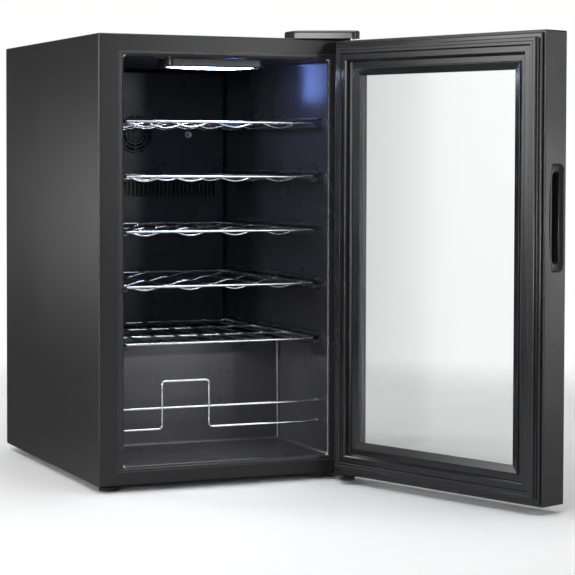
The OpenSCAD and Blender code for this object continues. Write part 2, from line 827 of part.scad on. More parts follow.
// Block inset by f from the door's edges, between two depths from the rim
module door_block(f, t0, t1) {
    block([door_x0 + f, axis_deep - t1, door_z + f], [axis_in - f, axis_deep - t0, door_z + door_h - f]);
}

// Frame between two insets and two depths
module door_ring(f0, f1, t0, t1) {
    difference() {
        door_block(f0, t0, t1);
        door_block(f1, t0 - 1, t1 + 1);
    }
}

// Mitred frame with any outline, given as points [inset, depth]
module mitred_frame(outline) {
    w = cabinet_w;
    h = door_h;
    reach = 120;
    for (s = [0:3]) {
        l = s % 2 == 0 ? w : h;
        translate([door_x0 + w / 2, axis_deep, door_z + h / 2])
            rotate([0, s * 90, 0])
                translate([-l / 2, 0, -(s % 2 == 0 ? h : w) / 2])
                    intersection() {
                        rotate([90, 0, 90]) linear_extrude(l)
                            polygon([for (p = outline) [-p[1], p[0]]]);
                        translate([0, 100, 0]) rotate([90, 0, 0]) linear_extrude(200)
                            polygon([[0, 0], [l, 0], [l - reach, reach], [reach, reach]]);
                    }
    }
}

module door_shell() {
    color("#2a2b2d") door_place()
    difference() {
        union() {
            door_ring(0, 60, 4, door_t);
            mitred_frame([[0, 0], [3, 0], [9, 3], [9, 5], [0, 5]]);
        }
        // glass unit and the bevelled surround outside it
        door_block(glass_in, 3, glass_end);
        hull() {
            door_block(58, glass_end, glass_end + 0.01);
            door_block(30, door_t, door_t + 0.1);
        }
        door_block(58, glass_end - 1, glass_end + 0.5);
        for (z = [door_z - 1, door_z + door_h - bush_l])
            translate([0, 0, z]) cylinder(r = bush_r, h = bush_l + 1);
        handle_place() translate([0, 0, -1]) linear_extrude(cup_depth + 1) cup_outline(-0.2);
        // recess for the touch control in the top rail's outer face
        block([door_mid - 65, axis_deep - door_t - 1, door_z + door_h - 26],
            [door_mid + 65, axis_deep - door_t + 6, door_z + door_h - 4]);
    }
}

door_mid = door_x0 + cabinet_w / 2;

module door_inner_frame() {
    h = retainer_h;
    a = retainer_out;
    b = retainer_in;
    color("#333437") door_place() mitred_frame([[9.3, 0.2], [9.3, 4], [glass_in, 4], [glass_in, 1],
        [frame_w, 1], [frame_w, -2.5], [bead_out + 2, -5], [bead_out, -2], [b, -2], [b, -h + 1.5],
        [b - 1.5, -h], [a + 1.5, -h], [a, -h + 1.5], [a, 0.2]]);
}

magnet_outline = [[18, -12.5], [24, -12.5], [24, -9.5], [18, -9.5]];

module door_gasket() {
    color("#232325") door_place() difference() {
        mitred_frame([[10, 0], [9.8, -2.8], [12.2, -4.8], [10.8, -6.8], [12.6, -8.8], [12.2, -10.8],
            [16, -13.5], [25, -13.5], [26, -12], [26, 0]]);
        mitred_frame(magnet_outline);
    }
}

module gasket_magnet() {
    color("#4a4238") door_place() mitred_frame(magnet_outline);
}

module inner_pane() {
    color("#dfe6e8", 0.4) door_place() door_block(glass_in, pane_1, pane_1 + pane_t);
}

module middle_pane() {
    color("#dfe6e8", 0.4) door_place() door_block(glass_in, pane_2, pane_2 + pane_t);
}

module outer_pane() {
    color("#cfd8dc", 0.5) door_place() door_block(glass_in, pane_3, glass_end);
}

module pane_spacers() {
    color("#b8bbbf") door_place()
    for (t = [pane_1, pane_2]) door_ring(56, 62, t + pane_t, t + pane_t + spacer_t);
}

module pane_seal() {
    color("#1a1a1a") door_place()
    for (t = [pane_1, pane_2]) door_ring(glass_in, 56, t + pane_t, t + pane_t + spacer_t);
}

// Places a cup in the free edge of the door: X down, Y towards the rim, Z into the door
module handle_place() {
    translate([door_x0, axis_deep - cup_middle, handle_z]) rotate([0, 90, 0]) children();
}

cup_depth = 30;
cup_middle = 31.5;
cup_w = 41;
cup_bow_r = 560;
slot_w = 18;

// Outline of the cup, drawn in by a wall's thickness: a long rectangle with its rim side bowed
module cup_outline(inset = 0) {
    intersection() {
        rounded(handle_l - 2 * inset, cup_w - 2 * inset, 14 - inset);
        translate([0, cup_w / 2 - cup_bow_r]) circle(cup_bow_r - inset, $fn = 180);
    }
}

// D-shaped cup let into the free edge of the door, with a finger slot in its floor
module handle_cup() {
    color("#1c1d1f") door_place() handle_place()
    difference() {
        linear_extrude(cup_depth) cup_outline();
        translate([0, 0, -1]) linear_extrude(4) cup_outline(2.4);
        translate([0, 0, 6]) linear_extrude(cup_depth - 8) rounded(handle_l - 20, 30, 10);
        translate([0, -1.5, -1]) linear_extrude(10) rounded(handle_l - 29, slot_w, slot_w / 2 - 0.1);
    }
}

module door_bush(up) {
    rotate([up ? 0 : 180, 0, 0]) difference() {
        cylinder(r = bush_r, h = bush_l);
        translate([0, 0, -1]) cylinder(r = pin_r + running, h = bush_l - 1);
    }
}

module top_door_bush() {
    color("#d6d6d0") door_place() translate([0, 0, door_z + door_h]) door_bush(false);
}

module bottom_door_bush() {
    color("#d6d6d0") door_place() translate([0, 0, door_z]) door_bush(true);
}

module touch_control() {
    y = axis_deep - door_t;
    z = door_z + door_h - 15;
    color("#0b0b0d") door_place() {
        block([door_mid - 64.5, y, z - 10.5], [door_mid + 64.5, y + 2, z + 10.5]);
        block([door_mid - 55, y + 2, z - 8], [door_mid + 55, y + 5, z + 8]);
    }
}

// Small stop under the door, beside its lower bush
module door_stop() {
    h = 2.9;
    color("#101011") door_place() translate([-46, -2, door_z - h]) difference() {
        linear_extrude(h) rounded(20, 16, 4);
        translate([0, 0, -1]) cylinder(r = 2, h = 2.4);
    }
}

cabinet_shell();
base_plate();
rear_panel();
insulation();
liner();
evaporator_cover();
evaporator();
evaporator_fan_frame();
evaporator_fan_rotor();
temperature_sensor();
lamp_housing();
lamp_board();
lamp_lens();
top_hinge_bracket();
top_hinge_pin();
bottom_hinge_bracket();
bottom_hinge_pin();
hinge_washer();
hinge_cover();
hinge_screws();
compressor();
compressor_mounts();
condenser();
condenser_fan_frame();
condenser_fan_rotor();
filter_drier();
refrigerant_pipes();
drip_tray();
control_box();
power_inlet();
rear_cover();
rear_cover_screws();
drain_tube();
rear_feet();
front_foot_left();
front_foot_right();
bottle_guard();
shelf_1();
shelf_2();
shelf_3();
shelf_4();
shelf_5();
door_shell();
door_inner_frame();
door_gasket();
gasket_magnet();
inner_pane();
middle_pane();
outer_pane();
pane_spacers();
pane_seal();
handle_cup();
top_door_bush();
bottom_door_bush();
touch_control();
door_stop();
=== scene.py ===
import json
import math

import bmesh
import bpy
from mathutils import Matrix, Vector


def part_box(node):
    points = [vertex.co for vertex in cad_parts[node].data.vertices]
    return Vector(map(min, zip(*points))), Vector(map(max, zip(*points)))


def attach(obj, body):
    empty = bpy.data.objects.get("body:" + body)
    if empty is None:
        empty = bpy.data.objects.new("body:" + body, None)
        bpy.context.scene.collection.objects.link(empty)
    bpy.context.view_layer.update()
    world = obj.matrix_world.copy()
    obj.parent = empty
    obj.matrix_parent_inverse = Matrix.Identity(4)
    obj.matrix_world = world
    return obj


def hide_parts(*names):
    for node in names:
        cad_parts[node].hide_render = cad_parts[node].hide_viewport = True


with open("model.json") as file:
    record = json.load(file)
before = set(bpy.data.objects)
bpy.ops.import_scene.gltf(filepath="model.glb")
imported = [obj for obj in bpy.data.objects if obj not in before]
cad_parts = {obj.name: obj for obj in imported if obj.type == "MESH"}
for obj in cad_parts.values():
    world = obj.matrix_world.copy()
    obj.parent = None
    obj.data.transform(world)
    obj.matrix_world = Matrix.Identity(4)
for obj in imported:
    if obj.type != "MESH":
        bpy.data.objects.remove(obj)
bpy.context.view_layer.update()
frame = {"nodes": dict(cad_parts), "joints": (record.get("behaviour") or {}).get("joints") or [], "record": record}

MM = 0.001

# ---------------------------------------------------------------- places taken from the frame

CAB_LO, CAB_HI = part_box("cabinet_shell")
FRONT, BACK = CAB_LO.y, CAB_HI.y
BOTTOM, TOP = CAB_LO.z, CAB_HI.z
HALF_W = CAB_HI.x
LINER_LO, LINER_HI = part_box("liner")
REAR_LO, REAR_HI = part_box("rear_panel")
LENS_LO, LENS_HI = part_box("lamp_lens")
HOUSING_LO, HOUSING_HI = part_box("lamp_housing")
PIN_LO, PIN_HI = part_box("top_hinge_pin")
AXIS = Vector(((PIN_LO.x + PIN_HI.x) / 2, (PIN_LO.y + PIN_HI.y) / 2, 0))
COVER_LO, COVER_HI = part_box("hinge_cover")
GUARD_LO, GUARD_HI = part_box("bottle_guard")
DOOR_LO, DOOR_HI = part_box("door_shell")
SHELVES = ["shelf_1", "shelf_2", "shelf_3", "shelf_4", "shelf_5"]
FLAT_SHELF = SHELVES[4]
HINGE = [j for j in frame["joints"] if j["name"] == "door_hinge"][0]
DOOR_OPEN = math.radians(-HINGE["range_deg"][0])

# ---------------------------------------------------------------- sizes, in metres

FLANGE_SIDE = 36.5 * MM         # painted flange round the front
FLANGE_TOP = 30 * MM
FLANGE_BOTTOM = 25 * MM
OPEN_X = HALF_W - 51 * MM       # opening of the liner
OPEN_Z0 = BOTTOM + 35 * MM
OPEN_Z1 = TOP - 41 * MM
LEDGE_Z = 257 * MM              # ledge over the compressor
LOWER_BACK = FRONT + 240 * MM   # rear wall of the lower compartment
UPPER_BACK = FRONT + 560 * MM
FRAME_R = 2.5 * MM              # wires of the shelves
CROSS_R = 1.6 * MM
LONG_R = 2.0 * MM
CRADLE_PITCH = 93 * MM
CRADLE_DEPTH = 9 * MM
FLAT_PITCH = 48.5 * MM          # wires of the flat shelf
FLAT_ROWS = [150, 310]          # its cross wires, from its front, mm
AXIS_IN = 20 * MM               # hinge axis from the door's hinge edge
AXIS_DEEP = 24 * MM             # hinge axis outwards from the door's rim
SHELF_ROWS = [42, 178, 300]     # waved wires of a shelf, from its front wire, mm
LAST_ROW = 36                   # and the last one, from its rear wire, mm
DIODE_PITCH = 24 * MM
GLASS_END = 26                  # outer face of the glass unit, depth in the door, mm
HANDLE_Z = 520 * MM
HANDLE_L = 190                  # mm
HANDLE_HALF = 20.5              # half of its width, mm
HANDLE_BOW = 560.0              # radius of its bowed side, mm
HANDLE_MIDDLE = 31.5            # mm from the rim


# ---------------------------------------------------------------- materials

def add_node(nt, kind, values=None, wires=None, **settings):
    """A new shader node with its settings, its fixed inputs and what is wired into it."""
    node = nt.nodes.new("ShaderNode" + kind)
    for key, value in settings.items():
        setattr(node, key, value)
    for key, value in (values or {}).items():
        node.inputs[key].default_value = value
    for key, source in (wires or {}).items():
        nt.links.new(source, node.inputs[key])
    return node


def add_range(nt, source, low, high, to_low, to_high, smooth=False):
    """Maps low to high onto to_low to to_high, and holds the ends beyond them."""
    limits = {"From Min": low, "From Max": high, "To Min": to_low, "To Max": to_high}
    way = "SMOOTHSTEP" if smooth else "LINEAR"
    return add_node(nt, "MapRange", limits, {"Value": source}, interpolation_type=way).outputs["Result"]


def material(name, colour, rough, metallic=0.0, spread=0.06, patch=5.0, grain=0.0, grain_size=1200.0,
             tint=0.12, coat=0.0, ior=1.5):
    """A finish with uneven roughness, a slight change of tone, and a grain in its surface."""
    m = bpy.data.materials.new(name)
    m.use_nodes = True
    nt = m.node_tree
    shader = nt.nodes["Principled BSDF"]
    shader.inputs["Metallic"].default_value = metallic
    shader.inputs["IOR"].default_value = ior
    shader.inputs["Coat Weight"].default_value = coat
    shader.inputs["Coat Roughness"].default_value = 0.12
    place = add_node(nt, "TexCoord").outputs["Object"]
    broad = add_node(nt, "TexNoise", {"Scale": patch, "Detail": 5.0}, {"Vector": place}).outputs["Fac"]
    fine = add_node(nt, "TexNoise", {"Scale": grain_size, "Detail": 2.0}, {"Vector": place}).outputs["Fac"]
    uneven = add_range(nt, broad, 0.3, 0.7, max(rough - spread, 0.02), rough + spread)
    nt.links.new(uneven, shader.inputs["Roughness"])
    dark = [c * (1 - tint) for c in colour]
    light = [min(c * (1 + tint), 1) for c in colour]
    share = 0.35 if grain else 0.0
    both = add_node(nt, "Math", {1: share}, {0: fine, 2: broad}, operation="MULTIPLY_ADD").outputs["Value"]
    tone = add_node(nt, "Mix", {"A": (*dark, 1), "B": (*light, 1)}, {"Factor": both}, data_type="RGBA")
    nt.links.new(tone.outputs["Result"], shader.inputs["Base Color"])
    if grain:
        bump = add_node(nt, "Bump", {"Strength": 0.6, "Distance": grain}, {"Height": fine})
        nt.links.new(bump.outputs["Normal"], shader.inputs["Normal"])
    return m


def glass_material(name, colour):
    """Clear glass, its bending of light kept low so that the room behind shows straight through the panes."""
    m = material(name, colour, 0.02, spread=0.01, patch=2.0, tint=0.01, ior=1.25)
    shader = m.node_tree.nodes["Principled BSDF"]
    shader.inputs["Transmission Weight"].default_value = 1.0
    return m


def lamp_material(name, colour, strength):
    """Opal plastic lit from behind by a row of diodes."""
    m = material(name, (0.9, 0.95, 1.0), 0.35, tint=0.02)
    nt = m.node_tree
    shader = nt.nodes["Principled BSDF"]
    shader.inputs["Emission Color"].default_value = (*colour, 1)
    place = add_node(nt, "TexCoord").outputs["Object"]
    along = add_node(nt, "SeparateXYZ", wires={"Vector": place}).outputs["X"]
    turn = add_node(nt, "Math", {1: 2 * math.pi / DIODE_PITCH}, {0: along}, operation="MULTIPLY")
    wave = add_node(nt, "Math", wires={0: turn.outputs["Value"]}, operation="COSINE").outputs["Value"]
    bright = add_range(nt, wave, -1.0, 1.0, strength * 0.55, strength * 1.25)
    nt.links.new(bright, shader.inputs["Emission Strength"])
    return m


FINISHES = {
    "cabinet_paint": material("cabinet_paint", (0.017, 0.0172, 0.0178), 0.30, spread=0.025, patch=3.0,
                              grain=0.00003, grain_size=1500),
    "black_steel": material("black_steel", (0.012, 0.012, 0.013), 0.45, grain=0.00004, grain_size=900),
    "foam": material("foam", (0.80, 0.70, 0.42), 0.9, grain=0.0006, grain_size=300),
    "liner_plastic": material("liner_plastic", (0.024, 0.024, 0.029), 0.28, grain=0.00001, grain_size=1100),
    "fin_aluminium": material("fin_aluminium", (0.72, 0.73, 0.75), 0.35, metallic=1.0, grain=0.00004),
    "black_plastic": material("black_plastic", (0.012, 0.012, 0.013), 0.5, grain=0.00006, grain_size=1000),
    "white_plastic": material("white_plastic", (0.78, 0.78, 0.75), 0.45, grain=0.00003),
    "lamp_lens": lamp_material("lamp_lens", (0.55, 0.70, 1.0), 40.0),
    "hinge_steel": material("hinge_steel", (0.16, 0.16, 0.165), 0.4, metallic=0.8, grain=0.00004),
    "bright_steel": material("bright_steel", (0.55, 0.55, 0.56), 0.3, metallic=1.0, grain=0.00003),
    "gloss_black_plastic": material("gloss_black_plastic", (0.030, 0.030, 0.032), 0.16, spread=0.03,
                                    grain=0.000002, coat=0.4),
    "rubber": material("rubber", (0.010, 0.010, 0.010), 0.75, grain=0.0001, grain_size=700),
    "copper_pipe": material("copper_pipe", (0.62, 0.33, 0.20), 0.35, metallic=1.0, grain=0.00003, tint=0.25),
    "chrome_wire": material("chrome_wire", (0.78, 0.79, 0.81), 0.16, metallic=1.0, spread=0.05, patch=60,
                            grain=0.00002, grain_size=2500),
    "door_frame": material("door_frame", (0.020, 0.0205, 0.022), 0.26, grain=0.00001, grain_size=1500),
    "door_inner_plastic": material("door_inner_plastic", (0.012, 0.012, 0.013), 0.20, grain=0.000004,
                                   grain_size=1300, coat=0.3),
    "gasket": material("gasket", (0.014, 0.014, 0.015), 0.24, grain=0.000004, grain_size=900, coat=0.3),
    "magnet_strip": material("magnet_strip", (0.05, 0.04, 0.035), 0.8, grain=0.0001),
    "clear_glass": glass_material("clear_glass", (0.972, 0.976, 0.976)),
    "spacer_aluminium": material("spacer_aluminium", (0.30, 0.30, 0.31), 0.34, metallic=1.0, grain=0.00003),
    "pane_sealant": material("pane_sealant", (0.010, 0.010, 0.011), 0.6, grain=0.0002, grain_size=300),
    "touch_glass": material("touch_glass", (0.006, 0.006, 0.008), 0.08, spread=0.02, coat=0.6),
}


# ---------------------------------------------------------------- mesh helpers

def fillet(points, radius, steps=4, closed=True):
    """Rounds the corners of an outline. radius is one number, or one for each point.

    A point just outside each rounding keeps the flat next to it flat when it is shaded smooth.
    """
    n = len(points)
    radii = radius if isinstance(radius, (list, tuple)) else [radius] * n
    out = []
    for i, p in enumerate(points):
        p = Vector(p)
        if radii[i] <= 0 or (not closed and i in (0, n - 1)):
            out.append(p)
            continue
        a = Vector(points[i - 1]) - p
        b = Vector(points[(i + 1) % n]) - p
        turn = a.angle(b)
        if turn < 0.02 or turn > math.pi - 0.02:
            out.append(p)
            continue
        reach = min(radii[i] / math.tan(turn / 2), a.length * 0.45, b.length * 0.45)
        r = reach * math.tan(turn / 2)
        margin = min(0.15 * reach, a.length * 0.04, b.length * 0.04)
        a.normalize()
        b.normalize()
        centre = p + (a + b).normalized() * (r / math.sin(turn / 2))
        start = p + a * reach - centre
        end = p + b * reach - centre
        whole = start.angle(end)
        out.append(p + a * (reach + margin))
        for k in range(steps + 1):
            s = k / steps
            w0 = math.sin((1 - s) * whole) / math.sin(whole)
            w1 = math.sin(s * whole) / math.sin(whole)
            out.append(centre + start * w0 + end * w1)
        out.append(p + b * (reach + margin))
    return out


def finish_mesh(name, bm, mat, sharp=38):
    """Turns a bmesh into an object, smooth but for edges sharper than the angle given."""
    bmesh.ops.remove_doubles(bm, verts=bm.verts, dist=0.000001)
    bmesh.ops.dissolve_degenerate(bm, edges=bm.edges, dist=0.000001)
    bmesh.ops.recalc_face_normals(bm, faces=bm.faces)
    mesh = bpy.data.meshes.new(name)
    bm.to_mesh(mesh)
    bm.free()
    for face in mesh.polygons:
        face.use_smooth = True
    mesh.set_sharp_from_angle(angle=math.radians(sharp))
    obj = bpy.data.objects.new(name, mesh)
    bpy.context.collection.objects.link(obj)
    mesh.materials.append(FINISHES[mat])
    return obj


def apply_modifiers(obj, sharp=38):
    """Applies an object's modifiers and marks its sharp edges again."""
    graph = bpy.context.evaluated_depsgraph_get()
    mesh = bpy.data.meshes.new_from_object(obj.evaluated_get(graph))
    mesh.set_sharp_from_angle(angle=math.radians(sharp))
    obj.modifiers.clear()
    obj.data = mesh


def thicken(obj, thickness, offset=-1.0):
    """Gives an open surface a wall."""
    wall = obj.modifiers.new("wall", "SOLIDIFY")
    wall.thickness = thickness
    wall.offset = offset
    apply_modifiers(obj)


def part(obj, body, mat, *nodes):
    """Names the body that a piece rides on and hides the CAD nodes it stands for. mat, its finish, is not used."""
    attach(obj, body)
    if nodes:
        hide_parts(*nodes)
    return obj


def grid_faces(bm, rings, close_rings=True, close_loop=True):
    """Faces between rings of points, each as long as the next."""
    rows = [[bm.verts.new(p) for p in ring] for ring in rings]
    count = len(rows)
    for i in range(count if close_loop else count - 1):
        a, b = rows[i], rows[(i + 1) % count]
        size = len(a)
        for j in range(size if close_rings else size - 1):
            k = (j + 1) % size
            bm.faces.new((a[j], a[k], b[k], b[j]))
    return rows


def rectangle(x0, x1, z0, z1, inset, corner, steps):
    """Corner-rounded rectangle as (x, z) points, drawn in by inset."""
    r = max(corner - inset, 0.0)
    out = []
    spots = [(x1, z1, 0), (x0, z1, 90), (x0, z0, 180), (x1, z0, 270)]
    for x, z, start in spots:
        sx = -1 if x == x1 else 1
        sz = -1 if z == z1 else 1
        cx, cz = x + sx * (inset + r), z + sz * (inset + r)
        for k in range(-1, steps + 2):
            a = math.radians(start + 90 * min(max(k, 0), steps) / steps)
            past = 0.3 * MM * (max(k - steps, 0) + min(k, 0))
            out.append((cx + r * math.cos(a) - past * math.sin(a), cz + r * math.sin(a) + past * math.cos(a)))
    return out


def sweep(bm, outline, x0, x1, z0, z1, place, corner=0.0, steps=4):
    """Runs a closed outline of (inset, depth) points, in mm, round a rectangle."""
    count = steps if corner > 0 else 0
    rings = []
    for inset, depth in outline:
        loop = rectangle(x0, x1, z0, z1, inset * MM, corner, count) if count else [
            (x1 - inset * MM, z1 - inset * MM), (x0 + inset * MM, z1 - inset * MM),
            (x0 + inset * MM, z0 + inset * MM), (x1 - inset * MM, z0 + inset * MM)]
        rings.append([place(x, depth * MM, z) for x, z in loop])
    grid_faces(bm, rings)


def mitred_bars(bm, outline, x0, x1, z0, z1, place, gap=0.12 * MM):
    """Four bars of one closed outline, cut at 45 degrees, with a hairline left at each mitre."""
    corners = [(x0, z0, 1, 1), (x1, z0, -1, 1), (x1, z1, -1, -1), (x0, z1, 1, -1)]
    for i, (xa, za, ia, ja) in enumerate(corners):
        xb, zb, ib, jb = corners[(i + 1) % 4]
        flat = za == zb
        rings = []
        for x, z, sx, sz in ((xa, za, ia, ja), (xb, zb, ib, jb)):
            off_x, off_z = (sx * gap, 0) if flat else (0, sz * gap)
            rings.append([place(x + sx * inset * MM + off_x, depth * MM, z + sz * inset * MM + off_z)
                          for inset, depth in outline])
        solid_between(bm, rings)


def rounded_box(bm, low, high, radius, steps=3):
    """A box with rounded edges between two corners."""
    made = bmesh.ops.create_cube(bm, size=1.0)["verts"]
    low, high = Vector(low), Vector(high)
    middle, size = (low + high) / 2, high - low
    for v in made:
        v.co = Vector((v.co.x * size.x, v.co.y * size.y, v.co.z * size.z)) + middle
    edges = list({e for v in made for e in v.link_edges})
    bmesh.ops.bevel(bm, geom=edges, offset=radius, segments=steps, profile=0.5, affect="EDGES")


def tube(bm, path, radius, sides=10, closed=False):
    """A round wire along a path, with flat or joined ends."""
    pts = [Vector(p) for p in path]
    n = len(pts)
    rings = []
    normal = None
    for i, p in enumerate(pts):
        before = pts[i - 1] if (closed or i > 0) else p
        after = pts[(i + 1) % n] if (closed or i < n - 1) else p
        along = (after - before).normalized()
        if normal is None:
            normal = along.orthogonal().normalized()
        else:
            normal = (normal - along * normal.dot(along)).normalized()
        side = along.cross(normal)
        rings.append([p + radius * (math.cos(a) * normal + math.sin(a) * side)
                      for a in [2 * math.pi * k / sides for k in range(sides)]])
    if closed:
        # turn the last rings so that the tube meets its own start without a twist
        rows = [[bm.verts.new(q) for q in ring] for ring in rings]
        best = min(range(sides), key=lambda s: (rings[-1][s] - rings[0][0]).length)
        for i in range(n):
            a, b = rows[i], rows[(i + 1) % n]
            turn = best if i == n - 1 else 0
            for j in range(sides):
                k = (j + 1) % sides
                bm.faces.new((a[(j + turn) % sides], a[(k + turn) % sides], b[k], b[j]))
        return
    solid_between(bm, rings)


def solid_between(bm, rings):
    """A closed form through rings of points, with flat ends."""
    rows = grid_faces(bm, rings, close_loop=False)
    bm.faces.new(rows[0])
    bm.faces.new(list(reversed(rows[-1])))


# ---------------------------------------------------------------- cabinet

def in_cabinet(x, depth, z):
    """depth runs from the cabinet's front to its back."""
    return Vector((x, FRONT + depth, z))


def build_cabinet():
    """The folded steel sheet of the sides, the top and the front flange."""
    bm = bmesh.new()
    length, flange = (BACK - FRONT) / MM, FLANGE_SIDE / MM
    outline = [(flange, 0), (0, 0), (0, length), (1, length), (1, 1.2), (flange, 1.2)]
    outline = fillet(outline, [0.5, 3.2, 0.3, 0, 2.2, 0.3], 5)
    # the flange is narrower at the top and the bottom, so those sides start further out
    rings = []
    for inset, depth in outline:
        share = inset / flange
        top = TOP + (FLANGE_SIDE - FLANGE_TOP) * share
        low = BOTTOM - (FLANGE_SIDE - FLANGE_BOTTOM) * share
        loop = rectangle(-HALF_W, HALF_W, low, top, inset * MM, 3 * MM, 4)
        rings.append([in_cabinet(x, depth * MM, z) for x, z in loop])
    grid_faces(bm, rings)
    return part(finish_mesh("cabinet_wrap", bm, "cabinet_paint"), "cabinet", "cabinet_paint", "cabinet_shell")


def build_liner():
    """The moulded inside with its ledge, and a flat flange round its mouth."""
    bm = bmesh.new()
    side = [(FRONT, OPEN_Z0), (FRONT, OPEN_Z1), (UPPER_BACK, OPEN_Z1), (UPPER_BACK, LEDGE_Z),
            (LOWER_BACK, LEDGE_Z), (LOWER_BACK, OPEN_Z0)]
    left = [bm.verts.new((-OPEN_X, y, z)) for y, z in side]
    right = [bm.verts.new((OPEN_X, y, z)) for y, z in side]
    bm.faces.new(left)
    bm.faces.new(list(reversed(right)))
    for i in range(1, 6):
        k = (i + 1) % 6
        bm.faces.new((left[i], left[k], right[k], right[i]))
    x, z0, z1 = LINER_HI.x, LINER_LO.z, LINER_HI.z
    outer = [bm.verts.new((sx * x, FRONT, z)) for sx, z in ((-1, z0), (-1, z1), (1, z1), (1, z0))]
    inner = [left[0], left[1], right[1], right[0]]
    for i in range(4):
        k = (i + 1) % 4
        bm.faces.new((outer[i], outer[k], inner[k], inner[i]))
    bmesh.ops.recalc_face_normals(bm, faces=bm.faces)
    edges = [e for e in bm.edges
             if len(e.link_faces) == 2 and not (e.verts[0] in outer or e.verts[1] in outer)]
    bmesh.ops.bevel(bm, geom=edges, offset=7 * MM, segments=5, profile=0.5, affect="EDGES")
    bmesh.ops.translate(bm, verts=bm.verts, vec=(0, 0.4 * MM, 0))
    obj = finish_mesh("liner_moulding", bm, "liner_plastic", sharp=30)
    thicken(obj, 2.0 * MM, -1.0 if obj.data.polygons[0].normal.x > 0 else 1.0)
    return part(obj, "cabinet", "liner_plastic", "liner")


def build_ribs():
    """The ledges that carry the shelves and the guides over them."""
    bm = bmesh.new()
    for name in SHELVES:
        low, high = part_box(name)
        # just under the shelf's frame, which is the top of a cradle shelf and the bottom of the flat one
        z = (high.z - 2 * FRAME_R if name != FLAT_SHELF else low.z) - 0.4 * MM
        for sx in (-1, 1):
            wall = sx * (OPEN_X + 1 * MM)
            for width, z0, z1 in ((18, z - 7 * MM, z), (12, z + 9 * MM, z + 14 * MM)):
                tip = sx * (OPEN_X - (width - 1) * MM)
                near, far = low.y - 4 * MM, high.y + 4 * MM
                rounded_box(bm, (min(wall, tip), near, z0), (max(wall, tip), far, z1), 2 * MM)
    return part(finish_mesh("shelf_ribs", bm, "liner_plastic"), "cabinet", "liner_plastic")


def build_lamp_bezel():
    """The frame round the lens, under the ceiling."""
    x0, x1, y0, y1 = HOUSING_LO.x, HOUSING_HI.x, HOUSING_LO.y, HOUSING_HI.y
    wall = (x1 - x0 - (LENS_HI.x - LENS_LO.x)) / 2 / MM
    high = (HOUSING_HI.z - HOUSING_LO.z) / MM
    outline = fillet([(0, 0), (0, high), (wall, high), (wall, high - 7), (wall, 0)], [0, 3, 1, 0, 0], 4)
    # the bezel is narrower along its long sides, so those are drawn in less
    squeeze = (y1 - y0 - (LENS_HI.y - LENS_LO.y)) / 2 / MM / wall
    bm = bmesh.new()
    rings = []
    for inset, depth in outline:
        out = inset * MM * (1 - squeeze)
        loop = rectangle(x0, x1, y0 - out, y1 + out, inset * MM, 12 * MM, 6)
        rings.append([Vector((x, y, HOUSING_HI.z - depth * MM)) for x, y in loop])
    grid_faces(bm, rings)
    part(finish_mesh("lamp_bezel", bm, "liner_plastic"), "cabinet", "liner_plastic", "lamp_housing")


def build_lamp_diffuser():
    """A shallow dome over the whole length of the lens."""
    half, drop = (LENS_HI.x - LENS_LO.x) / 2, LENS_HI.z - LENS_LO.z
    middle = (LENS_HI.x + LENS_LO.x) / 2
    near, far, top = LENS_LO.y, LENS_HI.y, LENS_HI.z
    steps = 16
    rings = []
    for k in range(-steps, steps + 1):
        s = max(-0.995, min(0.995, k / steps))
        deep = drop * (0.12 + 0.88 * math.sqrt(1 - s * s))
        ring = [(near, top), (near, top - deep * 0.5), (near + 3 * MM, top - deep),
                (far - 3 * MM, top - deep), (far, top - deep * 0.5), (far, top)]
        rings.append([Vector((middle + half * k / steps, y, z)) for y, z in ring])
    bm = bmesh.new()
    solid_between(bm, rings)
    part(finish_mesh("lamp_diffuser", bm, "lamp_lens"), "cabinet", "lamp_lens", "lamp_lens")


def shelf_outline(low, high, z):
    """The middle line of a shelf's frame."""
    x0, x1 = low.x + FRAME_R, high.x - FRAME_R
    y0, y1 = low.y + FRAME_R, high.y - FRAME_R
    return fillet([(x0, y0, z), (x1, y0, z), (x1, y1, z), (x0, y1, z)], 9 * MM, 6)


def build_cradle_shelf(name):
    """A wire frame with waved cross wires that hold the bottles, and straight wires along their crests."""
    low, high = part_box(name)
    z = high.z - FRAME_R
    bm = bmesh.new()
    tube(bm, shelf_outline(low, high, z), FRAME_R, 12, closed=True)
    x1 = high.x - FRAME_R
    front, rear = low.y + FRAME_R, high.y - FRAME_R
    steps = 24
    for y in [front + row * MM for row in SHELF_ROWS] + [rear - LAST_ROW * MM]:
        wave = [Vector((CRADLE_PITCH * k / steps, y, 0)) for k in range(-2 * steps, 2 * steps + 1)]
        for p in wave:
            p.z = z - CRADLE_DEPTH / 2 * (1 - math.cos(2 * math.pi * p.x / CRADLE_PITCH))
        tube(bm, [(-x1, y, z)] + wave + [(x1, y, z)], CROSS_R, 8)
    for k in range(-2, 3):
        x = k * CRADLE_PITCH
        tube(bm, [(x, front, z), (x, rear, z)], LONG_R, 10)
    part(finish_mesh(name + "_wire", bm, "chrome_wire", sharp=50), name, "chrome_wire", name)


def build_flat_shelf(name):
    """Nine straight wires that lie on the frame and its two cross wires."""
    low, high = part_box(name)
    z = low.z + FRAME_R
    bm = bmesh.new()
    y0, y1 = low.y, high.y
    low.y += 0.6 * MM
    r = CROSS_R + 0.2 * MM
    over = z + FRAME_R + 0.8 * MM
    tube(bm, shelf_outline(low, high, z), FRAME_R, 12, closed=True)
    for k in range(-4, 5):
        x = k * FLAT_PITCH
        tube(bm, [(x, y0 + 1 * MM, over), (x, y1 - 1 * MM, over)], r, 10)
    x1 = high.x - FRAME_R
    for y in [y0 + row * MM for row in FLAT_ROWS]:
        tube(bm, [(-x1, y, z), (x1, y, z)], FRAME_R, 10)
    part(finish_mesh(name + "_wire", bm, "chrome_wire", sharp=50), name, "chrome_wire", name)


